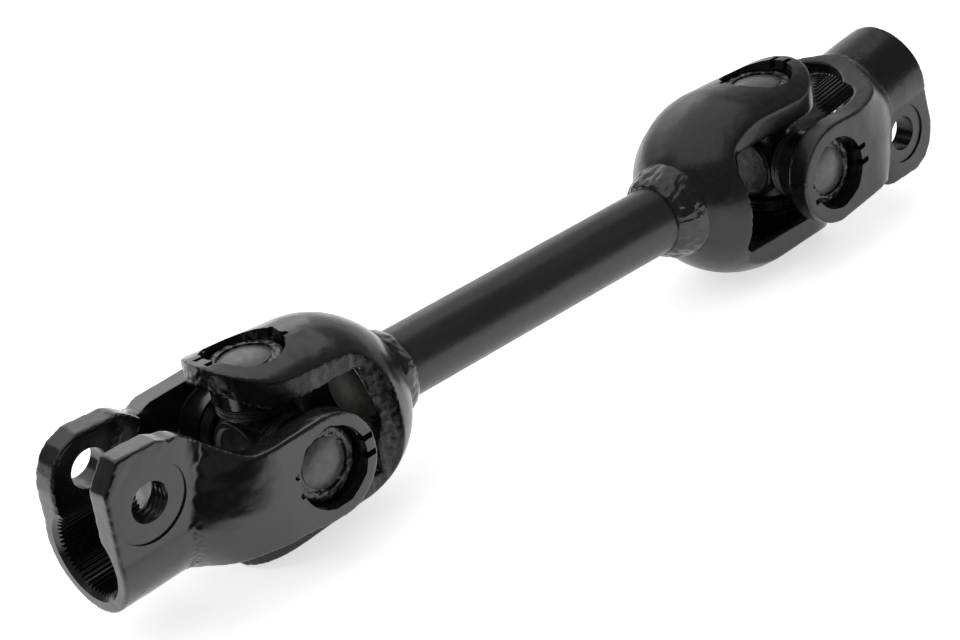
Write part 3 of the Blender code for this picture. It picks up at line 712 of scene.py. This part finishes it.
def cup_profile():
    corner = arc((CUP_RADIUS - CUP_CORNER, CUP_TOP - CUP_CORNER), CUP_CORNER, 0, 90, 8)
    groove_out = DOME_RADIUS + GROOVE_WIDTH
    profile = [(CUP_RADIUS, CUP_MOUTH)] + corner
    profile += [(CUP_RADIUS - CUP_CORNER - RIM_LOOP_WIDTH * i, CUP_TOP)
                for i in range(1, RIM_LOOPS + 1)]
    profile += [(groove_out + 0.1, CUP_TOP - 0.03), (groove_out, CUP_TOP - GROOVE_DEPTH)]
    profile.append((DOME_RADIUS, CUP_TOP - GROOVE_DEPTH))
    for i in range(CUP_DOME_ROWS + 1):
        share = i / CUP_DOME_ROWS
        radius = DOME_RADIUS * (1 - share)
        rise = 1 - (1 - share) ** CUP_DOME_POWER
        profile.append((radius, CUP_TOP - GROOVE_DEPTH * 0.6 + DOME_HEIGHT * rise))
    return profile + [(0.0, CUP_BOTTOM), (CUP_INNER, CUP_BOTTOM), (CUP_INNER, CUP_MOUTH)]


def cup_zone(place):
    """Material of a face of a cup: dome, groove and wall, or rim."""
    out = math.hypot(place.x, place.y)
    if out < DOME_RADIUS - 0.05:
        return 0
    in_groove = out < DOME_RADIUS + GROOVE_WIDTH + 0.1
    return 1 if in_groove or place.z < CUP_TOP - CUP_CORNER else 2


def seal_profile():
    """Rubber seal with rounded ribs."""
    steps = SEAL_RIBS * RIB_STEPS
    wall = []
    for i in range(steps + 1):
        share = i / steps
        dip = 0.5 - 0.5 * math.cos(share * SEAL_RIBS * 2 * math.pi)
        height = SEAL_BOTTOM + (SEAL_TOP - SEAL_BOTTOM) * share
        wall.append((SEAL_OUTER - SEAL_LIP * (1 - dip), height))
    return [(SEAL_INNER, SEAL_BOTTOM)] + wall + [(SEAL_INNER, SEAL_TOP)]


def bearings(end, side, body, direction, looks, seed):
    label = "%s_%s" % (end.letter, side)
    cup = new_object("cup_" + label, turned(cup_profile(), ROUND))
    places = vertices(cup)
    top = places[:, 2] > CUP_TOP - DENT_BAND
    outer = np.hypot(places[:, 0], places[:, 1]) > DOME_RADIUS + GROOVE_WIDTH
    dents = np.where(top & outer, DENT_DEPTH * lumps(places, DENT_SIZE, seed) - DENT_SINK, 0.0)
    move_along_normals(cup, dents)
    for polygon in cup.data.polygons:
        polygon.material_index = cup_zone(polygon.center)
    cup.data.transform(direction)
    finish_piece(cup, body, ["bearing_cup_" + label],
                 [looks["cup"], looks["paint_" + end.letter], looks["cup_rim"]])
    seal = new_object("ribbed_seal_" + label, turned(seal_profile(), CUP_ROUND))
    seal.data.transform(direction)
    finish_piece(seal, body, ["seal_" + label], [looks["rubber"]])


def trunnions():
    half = [(0.0, TRUNNION_END), (TRUNNION_RADIUS - 0.5, TRUNNION_END),
            (TRUNNION_RADIUS, TRUNNION_END - 0.5), (TRUNNION_RADIUS, BOSS_TOP + ROOT_FILLET),
            (TRUNNION_RADIUS + ROOT_FILLET, BOSS_TOP), (BOSS_RADIUS, BOSS_TOP)]
    return turned(half + [(radius, -height) for radius, height in half[::-1]], HUB_STEPS)


def cross(end, frame_matrix, looks):
    letter = end.letter
    sideways = Matrix.Rotation(math.radians(90), 4, 'Y')
    level = Matrix.Rotation(math.radians(90), 4, 'X')
    half = [(0.0, HUB_HALF), (HUB_RADIUS - HUB_BEVEL, HUB_HALF),
            (HUB_RADIUS, HUB_HALF - HUB_BEVEL)]
    hub = new_object("forged_cross_" + letter,
                     turned(half + [(r, -h) for r, h in half[::-1]], HUB_STEPS), sideways)
    combine(hub, [new_object("upright", trunnions()), new_object("level", trunnions(), level)],
            'UNION')
    remesh(hub, FINE_VOXEL, HUB_ROUNDING)
    move_along_normals(hub, HUB_LUMPS * lumps(vertices(hub), HUB_LUMP_SIZE, ord(letter)))
    dish = [(0.0, HUB_HALF - HUB_DISH_DEPTH), (HUB_DISH_RADIUS - 0.6, HUB_HALF - HUB_DISH_DEPTH),
            (HUB_DISH_RADIUS, HUB_HALF - 0.1), (HUB_DISH_RADIUS, HUB_HALF + 1),
            (0.0, HUB_HALF + 1)]
    backwards = Matrix.Rotation(math.radians(-90), 4, 'Y')
    cuts = [new_object("dish", turned(dish, HUB_STEPS), sideways),
            new_object("dish_back", turned(dish, HUB_STEPS), backwards)]
    combine(hub, cuts, 'DIFFERENCE')
    hub.data.transform(frame_matrix)
    finish_piece(hub, "cross_" + letter, ["cross_" + letter],
                 [looks["forging"]])


# Shaft and welds

BAR_ROWS = 120
BAR_WAVES = 0.035           # height of the drawn bar's unevenness
BAR_WAVE_SIZE = 2.5
BAR_STRETCH = 0.25          # the unevenness is drawn out along the bar
BAR_SEED = 4


def shaft(looks):
    half_length = JOINT_X - SHAFT_END_INSET
    half = [(0.0, half_length), (SHAFT_RADIUS - SHAFT_CHAMFER, half_length)]
    for i in range(BAR_ROWS + 1):
        half.append((SHAFT_RADIUS, (half_length - SHAFT_CHAMFER) * (1 - 2 * i / BAR_ROWS)))
    half += [(SHAFT_RADIUS - SHAFT_CHAMFER, -half_length), (0.0, -half_length)]
    bar = new_object("painted_bar", turned(half, ROUND), Matrix.Rotation(math.radians(90), 4, 'Y'))
    places = vertices(bar)
    stretched = places * np.array([[BAR_STRETCH, 1.0, 1.0]])
    move_along_normals(bar, BAR_WAVES * lumps(stretched, BAR_WAVE_SIZE, BAR_SEED))
    for polygon in bar.data.polygons:
        polygon.material_index = int(polygon.center.x < SHAFT_CHAMFER / 2 - half_length)
    finish_piece(bar, "shaft", ["shaft"], [looks["bar"], looks["bar_end"]],
                 sharp=50)


def dome_height(end, radius):
    across = end.outside(end.dome_start)
    return end.dome_start + end.dome_depth * math.sqrt(1 - (radius / across) ** 2)


BEAD_SINK = 0.15            # the bead's foot runs into the dome
BEAD_ROWS = 18
BEAD_STEPS = 168
BEAD_RIPPLES = 26           # in one turn round the bar
BEAD_RIPPLE = 0.05
BEAD_DRIFT = 2.0            # how unevenly the ripples follow each other
BEAD_LUMP_SCALE = 1.6
BEAD_LUMPS = 0.75
BEAD_GRIT_SCALE = 7.0
BEAD_GRIT_ROWS = 5          # shift of the grit across the bead
BEAD_BULGE = 0.9            # times bead_power: 1 is a quarter round, 2 a flat bevel


def weld_bead(end, frame_matrix, looks):
    """Rippled fillet weld with slow lumps and fine grit."""
    letter = end.letter
    inner = SHAFT_RADIUS + end.bead_gap
    outer = inner + end.bead_rise
    bm = bmesh.new()
    rings = []
    foot = dome_height(end, outer) - BEAD_SINK
    root = dome_height(end, inner) + SEAT_GAP
    top = root + end.bead_length
    for step in range(BEAD_STEPS):
        angle = 2 * math.pi * step / BEAD_STEPS
        side = Vector((math.cos(angle), math.sin(angle)))
        drift = BEAD_DRIFT * noise.noise(Vector((side.x, side.y, 3.0)))
        ripple = BEAD_RIPPLE * math.sin(BEAD_RIPPLES * angle + drift)
        slow = noise.noise(Vector((side.x * BEAD_LUMP_SCALE, side.y * BEAD_LUMP_SCALE,
                                   ord(letter))))
        ring = []
        for row in range(BEAD_ROWS + 1):
            share = row / BEAD_ROWS
            turn = share * math.pi / 2
            grit = noise.noise(Vector((side.x, side.y, 0)) * BEAD_GRIT_SCALE
                               + Vector((0, 0, share * BEAD_GRIT_ROWS + ord(letter))))
            uneven = ripple + BEAD_LUMPS * slow + end.bead_grit * grit
            swell = math.sin(share * math.pi) * uneven
            power = BEAD_BULGE * end.bead_power
            radius = inner + (end.bead_rise + swell) * math.cos(turn) ** power
            height = foot + (top - foot + swell) * math.sin(turn) ** power
            ring.append(bm.verts.new((radius * side.x, radius * side.y, height)))
        ring.append(bm.verts.new((inner * side.x, inner * side.y, root)))
        rings.append(ring)
    for i in range(BEAD_STEPS):
        a, b = rings[i], rings[(i + 1) % BEAD_STEPS]
        for j in range(len(a)):
            k = (j + 1) % len(a)
            bm.faces.new((a[j], a[k], b[k], b[j]))
    sideways = Matrix.Rotation(math.radians(90), 4, 'Y')
    bead = new_object("weld_" + letter, bm, frame_matrix @ sideways)
    finish_piece(bead, "shaft", ["weld_bead_" + letter], [looks["weld"]], sharp=60)


# Materials

TORN_BAND = 0.005           # metres over which the torn look of an edge fades out


class Surface:
    """A Principled material with helpers for the few nodes used here."""

    def __init__(self, name, colour, roughness, metallic=0.0, specular=0.5):
        self.material = bpy.data.materials.new(name)
        self.material.use_nodes = True
        self.tree = self.material.node_tree
        self.shader = self.tree.nodes["Principled BSDF"]
        self.place = self.node("ShaderNodeTexCoord").outputs["Object"]
        self.shader.inputs["Base Color"].default_value = (*colour, 1.0)
        self.shader.inputs["Roughness"].default_value = roughness
        self.shader.inputs["Metallic"].default_value = metallic
        self.shader.inputs["Specular IOR Level"].default_value = specular

    def node(self, kind):
        return self.tree.nodes.new(kind)

    def link(self, source, target):
        self.tree.links.new(source, target)

    def grain(self, scale, detail=4.0, stretch=None, rough=0.5):
        """Noise over the object's own coordinates; scale is in bumps per metre."""
        place = self.place
        if stretch is not None:
            mapping = self.node("ShaderNodeMapping")
            mapping.inputs["Scale"].default_value = stretch
            self.link(place, mapping.inputs["Vector"])
            place = mapping.outputs["Vector"]
        made = self.node("ShaderNodeTexNoise")
        made.inputs["Scale"].default_value = scale
        made.inputs["Detail"].default_value = detail
        made.inputs["Roughness"].default_value = rough
        self.link(place, made.inputs["Vector"])
        return made.outputs["Fac"]

    def ramp(self, source, low, high, dark, light):
        made = self.node("ShaderNodeMapRange")
        made.inputs["From Min"].default_value = low
        made.inputs["From Max"].default_value = high
        made.inputs["To Min"].default_value = dark
        made.inputs["To Max"].default_value = light
        self.link(source, made.inputs["Value"])
        return made.outputs["Result"]

    def scaled(self, source, factor):
        made = self.node("ShaderNodeMath")
        made.operation = 'MULTIPLY'
        self.link(source, made.inputs[0])
        self.link(factor, made.inputs[1])
        return made.outputs["Value"]

    def inward(self, distance, band):
        """One where the part is closer to its middle than a distance along it, else zero."""
        axes = self.node("ShaderNodeSeparateXYZ")
        self.link(self.place, axes.inputs["Vector"])
        along = self.node("ShaderNodeMath")
        along.operation = 'ABSOLUTE'
        self.link(axes.outputs["X"], along.inputs[0])
        return self.ramp(along.outputs["Value"], distance - band, distance + band, 1.0, 0.0)

    def roughness(self, source, low, high):
        self.link(self.ramp(source, 0.3, 0.7, low, high), self.shader.inputs["Roughness"])

    def colours(self, source, low, high, first, second):
        mix = self.node("ShaderNodeMix")
        mix.data_type = 'RGBA'
        mix.inputs["A"].default_value = (*first, 1.0)
        mix.inputs["B"].default_value = (*second, 1.0)
        self.link(self.ramp(source, low, high, 0.0, 1.0), mix.inputs["Factor"])
        self.link(mix.outputs["Result"], self.shader.inputs["Base Color"])

    def bumps(self, *layers):
        """Each layer is a source and its height in metres."""
        previous = None
        for source, height in layers:
            made = self.node("ShaderNodeBump")
            made.inputs["Strength"].default_value = 1.0
            made.inputs["Distance"].default_value = height
            self.link(source, made.inputs["Height"])
            if previous is not None:
                self.link(previous, made.inputs["Normal"])
            previous = made.outputs["Normal"]
        self.link(previous, self.shader.inputs["Normal"])


def gloss_paint(name, specular, smooth, dull):
    surface = Surface(name, (0.004, 0.004, 0.005), 0.2, specular=specular)
    surface.colours(surface.grain(900, 6), 0.4, 0.8, (0.003, 0.003, 0.0035),
                    (0.008, 0.008, 0.009))
    surface.roughness(surface.grain(160, 5), smooth, dull)
    surface.bumps((surface.grain(220, 2), 0.00012), (surface.grain(1600, 3), 0.000010))
    return surface.material


def edge_paint():
    """Paint on sheared edges: smooth round the tips of the arms, torn further in."""
    surface = Surface("black_paint_on_sheared_edge", (0.006, 0.006, 0.007), 0.3, specular=0.5)
    torn = surface.inward(JOINT_X * TO_METRES, TORN_BAND)
    streaks = surface.grain(700, 8, stretch=(1.0, 1.0, 0.35))
    surface.colours(surface.scaled(streaks, torn), 0.50, 0.66,
                    (0.003, 0.003, 0.0035), (0.060, 0.060, 0.061))
    surface.roughness(surface.grain(420, 6), 0.14, 0.38)
    surface.bumps((surface.scaled(surface.grain(300, 6, rough=0.65), torn), 0.00034),
                  (surface.grain(1500, 4), 0.00003))
    return surface.material


def bar_paint():
    surface = Surface("satin_bar_paint", (0.012, 0.012, 0.013), 0.35, specular=0.65)
    drawn = surface.grain(260, 6, stretch=(0.08, 1.0, 1.0))
    surface.colours(drawn, 0.35, 0.7, (0.009, 0.009, 0.010), (0.020, 0.020, 0.021))
    surface.roughness(surface.grain(500, 5), 0.26, 0.38)
    surface.bumps((drawn, 0.00006), (surface.grain(1800, 4), 0.00002))
    return surface.material


def bare_bar_end():
    surface = Surface("dull_bar_end", (0.07, 0.066, 0.058), 0.5, specular=0.5)
    surface.colours(surface.grain(900, 8), 0.35, 0.7, (0.050, 0.048, 0.043),
                    (0.105, 0.099, 0.088))
    surface.bumps((surface.grain(900, 5), 0.00006))
    return surface.material


def weld_paint():
    surface = Surface("paint_on_weld", (0.008, 0.008, 0.009), 0.24, specular=0.7)
    surface.colours(surface.grain(800, 8), 0.55, 0.7, (0.006, 0.006, 0.007),
                    (0.024, 0.024, 0.025))
    surface.roughness(surface.grain(600, 5), 0.08, 0.24)
    surface.bumps((surface.grain(300, 4, rough=0.5), 0.00036), (surface.grain(2200, 4), 0.00002))
    return surface.material


def cup_paint():
    surface = Surface("thin_paint_on_cup", (0.036, 0.037, 0.038), 0.36, specular=0.9)
    surface.colours(surface.grain(700, 6, rough=0.6), 0.38, 0.66, (0.036, 0.037, 0.038),
                    (0.068, 0.069, 0.070))
    surface.roughness(surface.grain(500, 5), 0.28, 0.42)
    surface.bumps((surface.grain(900, 5), 0.00005))
    return surface.material


def cup_rim_paint():
    """Paint that has chipped in patches off the staked rim."""
    surface = Surface("chipped_paint_on_cup_rim", (0.02, 0.02, 0.021), 0.3, specular=0.8)
    surface.colours(surface.grain(800, 5, rough=0.6), 0.50, 0.56, (0.004, 0.004, 0.0045),
                    (0.060, 0.061, 0.062))
    surface.roughness(surface.grain(500, 5), 0.22, 0.40)
    surface.bumps((surface.grain(800, 4), 0.00012))
    return surface.material


def forging():
    surface = Surface("dark_forging", (0.009, 0.008, 0.007), 0.32, specular=0.4)
    surface.colours(surface.grain(500, 8), 0.4, 0.7, (0.004, 0.004, 0.004),
                    (0.016, 0.014, 0.012))
    surface.roughness(surface.grain(300, 5), 0.25, 0.45)
    surface.bumps((surface.grain(350, 5), 0.00018), (surface.grain(1500, 3), 0.00002))
    return surface.material


def rubber():
    surface = Surface("seal_rubber", (0.006, 0.006, 0.006), 0.3, specular=0.45)
    surface.roughness(surface.grain(700, 4), 0.18, 0.4)
    surface.bumps((surface.grain(1200, 3), 0.00003))
    return surface.material


def roller_steel():
    surface = Surface("roller_steel", (0.5, 0.5, 0.5), 0.22, metallic=1.0)
    surface.roughness(surface.grain(900, 4), 0.15, 0.32)
    return surface.material


def nylon():
    surface = Surface("nylon", (0.75, 0.73, 0.68), 0.5)
    surface.roughness(surface.grain(800, 4), 0.4, 0.6)
    return surface.material


# Stage, light and camera

FLOOR_SIZE = 4.0
FLOOR_DROP = 0.0002
FLOOR_GLOW = 0.62
FLOOR_COLOUR = (0.82, 0.82, 0.82, 1)
# Painted reflection shade: the floor takes this dark colour only in reflections, some way in front
# of the part
REFLECTION_SHADE_COLOUR = (0.03, 0.03, 0.03, 1)
REFLECTION_SHADE_EDGE = (0.095, 0.135)  # distance in front of the part where the floor turns to painted reflection shade, dark in reflections only
PLAIN_LIGHT = 0.6
ROOM_LIGHT = 0.14
BACKDROP_FADE = (0.20, 0.88)
BACKDROP_SIDE = (0.64, 0.77, 0.0)
BACKDROP_AIM = (0.55, 0.66, -0.50)  # its reflection dims with height


def stage():
    """Pale floor; some way in front of the part it is painted dark for reflections only, a painted
    reflection shade that stands where no dark card is.
    """
    bm = bmesh.new()
    bmesh.ops.create_grid(bm, x_segments=2, y_segments=2, size=FLOOR_SIZE)
    mesh = bpy.data.meshes.new("floor")
    bm.to_mesh(mesh)
    bm.free()
    floor = bpy.data.objects.new("floor", mesh)
    bpy.context.scene.collection.objects.link(floor)
    floor.location.z = cad_box[0][2] - FLOOR_DROP
    surface = bpy.data.materials.new("pale_floor")
    surface.use_nodes = True
    tree = surface.node_tree
    tree.nodes.clear()
    out = tree.nodes.new("ShaderNodeOutputMaterial")
    path = tree.nodes.new("ShaderNodeLightPath")
    diffuse = tree.nodes.new("ShaderNodeBsdfDiffuse")
    diffuse.inputs["Color"].default_value = FLOOR_COLOUR
    # Painted reflection shade: glossy rays see this dark diffuse in front of the part, while the
    # camera sees the floor white
    dark = tree.nodes.new("ShaderNodeBsdfDiffuse")
    dark.inputs["Color"].default_value = REFLECTION_SHADE_COLOUR
    outward = tree.nodes.new("ShaderNodeVectorMath")
    outward.operation = 'DOT_PRODUCT'
    outward.inputs[1].default_value = [-value for value in BACKDROP_SIDE]
    tree.links.new(tree.nodes.new("ShaderNodeTexCoord").outputs["Object"], outward.inputs[0])
    reflection_shade_fade = tree.nodes.new("ShaderNodeMapRange")
    reflection_shade_fade.inputs["From Min"].default_value = REFLECTION_SHADE_EDGE[0]
    reflection_shade_fade.inputs["From Max"].default_value = REFLECTION_SHADE_EDGE[1]
    tree.links.new(outward.outputs["Value"], reflection_shade_fade.inputs["Value"])
    glossy_reflection_shade = tree.nodes.new("ShaderNodeMath")
    glossy_reflection_shade.operation = 'MULTIPLY'
    tree.links.new(path.outputs["Is Glossy Ray"], glossy_reflection_shade.inputs[0])
    tree.links.new(reflection_shade_fade.outputs["Result"], glossy_reflection_shade.inputs[1])
    whole = tree.nodes.new("ShaderNodeMixShader")
    tree.links.new(glossy_reflection_shade.outputs[0], whole.inputs[0])
    tree.links.new(dark.outputs[0], whole.inputs[2])
    glow = tree.nodes.new("ShaderNodeEmission")
    glow.inputs["Color"].default_value = (1, 1, 1, 1)
    add = tree.nodes.new("ShaderNodeAddShader")
    seen = tree.nodes.new("ShaderNodeMath")
    seen.operation = 'MAXIMUM'
    tree.links.new(path.outputs["Is Camera Ray"], seen.inputs[0])
    tree.links.new(path.outputs["Is Glossy Ray"], seen.inputs[1])
    scaled = tree.nodes.new("ShaderNodeMath")
    scaled.operation = 'MULTIPLY'
    scaled.inputs[1].default_value = FLOOR_GLOW
    tree.links.new(seen.outputs[0], scaled.inputs[0])
    tree.links.new(scaled.outputs[0], glow.inputs["Strength"])
    tree.links.new(diffuse.outputs[0], add.inputs[0])
    tree.links.new(glow.outputs[0], add.inputs[1])
    tree.links.new(add.outputs[0], whole.inputs[1])
    tree.links.new(whole.outputs[0], out.inputs["Surface"])
    mesh.materials.append(surface)


def world():
    """White behind the object, also in reflections; the room on the other side is dim."""
    made = bpy.data.worlds.new("studio")
    bpy.context.scene.world = made
    made.use_nodes = True
    tree = made.node_tree
    tree.nodes.clear()
    path = tree.nodes.new("ShaderNodeLightPath")
    towards = tree.nodes.new("ShaderNodeTexCoord").outputs["Generated"]
    behind = tree.nodes.new("ShaderNodeVectorMath")
    behind.operation = 'DOT_PRODUCT'
    behind.inputs[1].default_value = BACKDROP_AIM
    tree.links.new(towards, behind.inputs[0])
    share = tree.nodes.new("ShaderNodeMapRange")
    share.inputs["From Min"].default_value = BACKDROP_FADE[0]
    share.inputs["From Max"].default_value = BACKDROP_FADE[1]
    share.inputs["To Min"].default_value = ROOM_LIGHT
    share.inputs["To Max"].default_value = 1.0
    tree.links.new(behind.outputs["Value"], share.inputs["Value"])
    level = PLAIN_LIGHT
    for ray, seen in (("Is Glossy Ray", share.outputs["Result"]), ("Is Transmission Ray", 1.0),
                      ("Is Camera Ray", 1.0)):
        mix = tree.nodes.new("ShaderNodeMix")
        tree.links.new(path.outputs[ray], mix.inputs["Factor"])
        for socket, value in (("A", level), ("B", seen)):
            if isinstance(value, float):
                mix.inputs[socket].default_value = value
            else:
                tree.links.new(value, mix.inputs[socket])
        level = mix.outputs["Result"]
    sky = tree.nodes.new("ShaderNodeBackground")
    sky.inputs["Color"].default_value = (1, 1, 1, 1)
    tree.links.new(level, sky.inputs["Strength"])
    out = tree.nodes.new("ShaderNodeOutputWorld")
    tree.links.new(sky.outputs[0], out.inputs["Surface"])


def lamp(name, place, target, size, power):
    light = bpy.data.lights.new(name, 'AREA')
    light.shape = 'RECTANGLE'
    light.size, light.size_y = size
    light.energy = power
    made = bpy.data.objects.new(name, light)
    bpy.context.scene.collection.objects.link(made)
    made.location = place
    aim = Vector(target) - Vector(place)
    made.rotation_euler = aim.to_track_quat('-Z', 'Y').to_euler()


def lights():
    lamp("overhead_box", (-0.10, 0.25, 0.80), (0.0, 0.0, 0.0), (1.6, 1.1), 4.0)
    lamp("back_box", (0.10, 0.95, 0.55), (0.0, 0.0, 0.0), (1.4, 0.4), 1.5)


LENS = 94.8
SENSOR = 36.0
CAMERA_PLACE = (-0.31984884, -0.36638096, 0.22115190)
CAMERA_RIGHT = (0.71053033, -0.6852101, -0.16010548)
CAMERA_UP = (0.40109402, 0.20743533, 0.89224109)
CAMERA_BACK = (-0.57816108, -0.69818171, 0.42222277)


def camera():
    data = bpy.data.cameras.new("photo_camera")
    data.lens = LENS
    data.sensor_width = SENSOR
    data.clip_start = 0.01
    data.clip_end = 20.0
    made = bpy.data.objects.new("photo_camera", data)
    bpy.context.scene.collection.objects.link(made)
    matrix = Matrix.Identity(4)
    for column, axis in enumerate((CAMERA_RIGHT, CAMERA_UP, CAMERA_BACK, CAMERA_PLACE)):
        for row in range(3):
            matrix[row][column] = axis[row]
    made.matrix_world = matrix
    bpy.context.scene.camera = made


# Assembly

def dress(end, looks):
    """Everything at one joint. Local +X of the inner frame points to the shaft."""
    sign = -1 if end.letter == "a" else 1
    centre = Matrix.Translation((sign * JOINT_X, 0, 0))
    inner = centre @ Matrix.Rotation(math.pi if sign > 0 else 0.0, 4, 'Z')
    outer = (centre @ Matrix.Rotation(end.tilt, 4, 'Y')
             @ Matrix.Rotation(math.pi, 4, 'Z' if sign < 0 else 'X'))
    quarter = math.radians(90)
    paint = looks["paint_" + end.letter]
    inner_yoke(end, "shaft", inner, [paint, looks["edge"]] if end.torn_edges else [paint])
    end_yoke(end, "end_yoke_" + end.letter, outer, [paint])
    cross(end, inner, looks)
    weld_bead(end, inner, looks)
    for i, (side, matrix, turn, body) in enumerate((
            ("top", inner, 0.0, "shaft"), ("bottom", inner, math.pi, "shaft"),
            ("near", outer, -quarter, "end_yoke_" + end.letter),
            ("far", outer, quarter, "end_yoke_" + end.letter))):
        direction = matrix @ Matrix.Rotation(turn, 4, 'X')
        bearings(end, side, body, direction, looks, seed=10 + i + sign)


def main():
    looks = {"paint_a": gloss_paint("black_paint_a", 0.85, 0.15, 0.27),
             "paint_b": gloss_paint("black_paint_b", 0.6, 0.22, 0.36),
             "edge": edge_paint(), "bar": bar_paint(), "bar_end": bare_bar_end(),
             "weld": weld_paint(), "cup": cup_paint(), "cup_rim": cup_rim_paint(),
             "forging": forging(), "rubber": rubber(), "rollers": roller_steel(),
             "nylon": nylon()}
    shaft(looks)
    dress(END_A, looks)
    dress(END_B, looks)
    for name, node in frame["nodes"].items():
        if name.startswith("needles"):
            node.material_slots[0].material = looks["rollers"]
        if name.startswith("thrust_pad"):
            node.material_slots[0].material = looks["nylon"]
    stage()
    world()
    lights()
    camera()
    bpy.context.scene.view_settings.view_transform = 'Standard'


main()
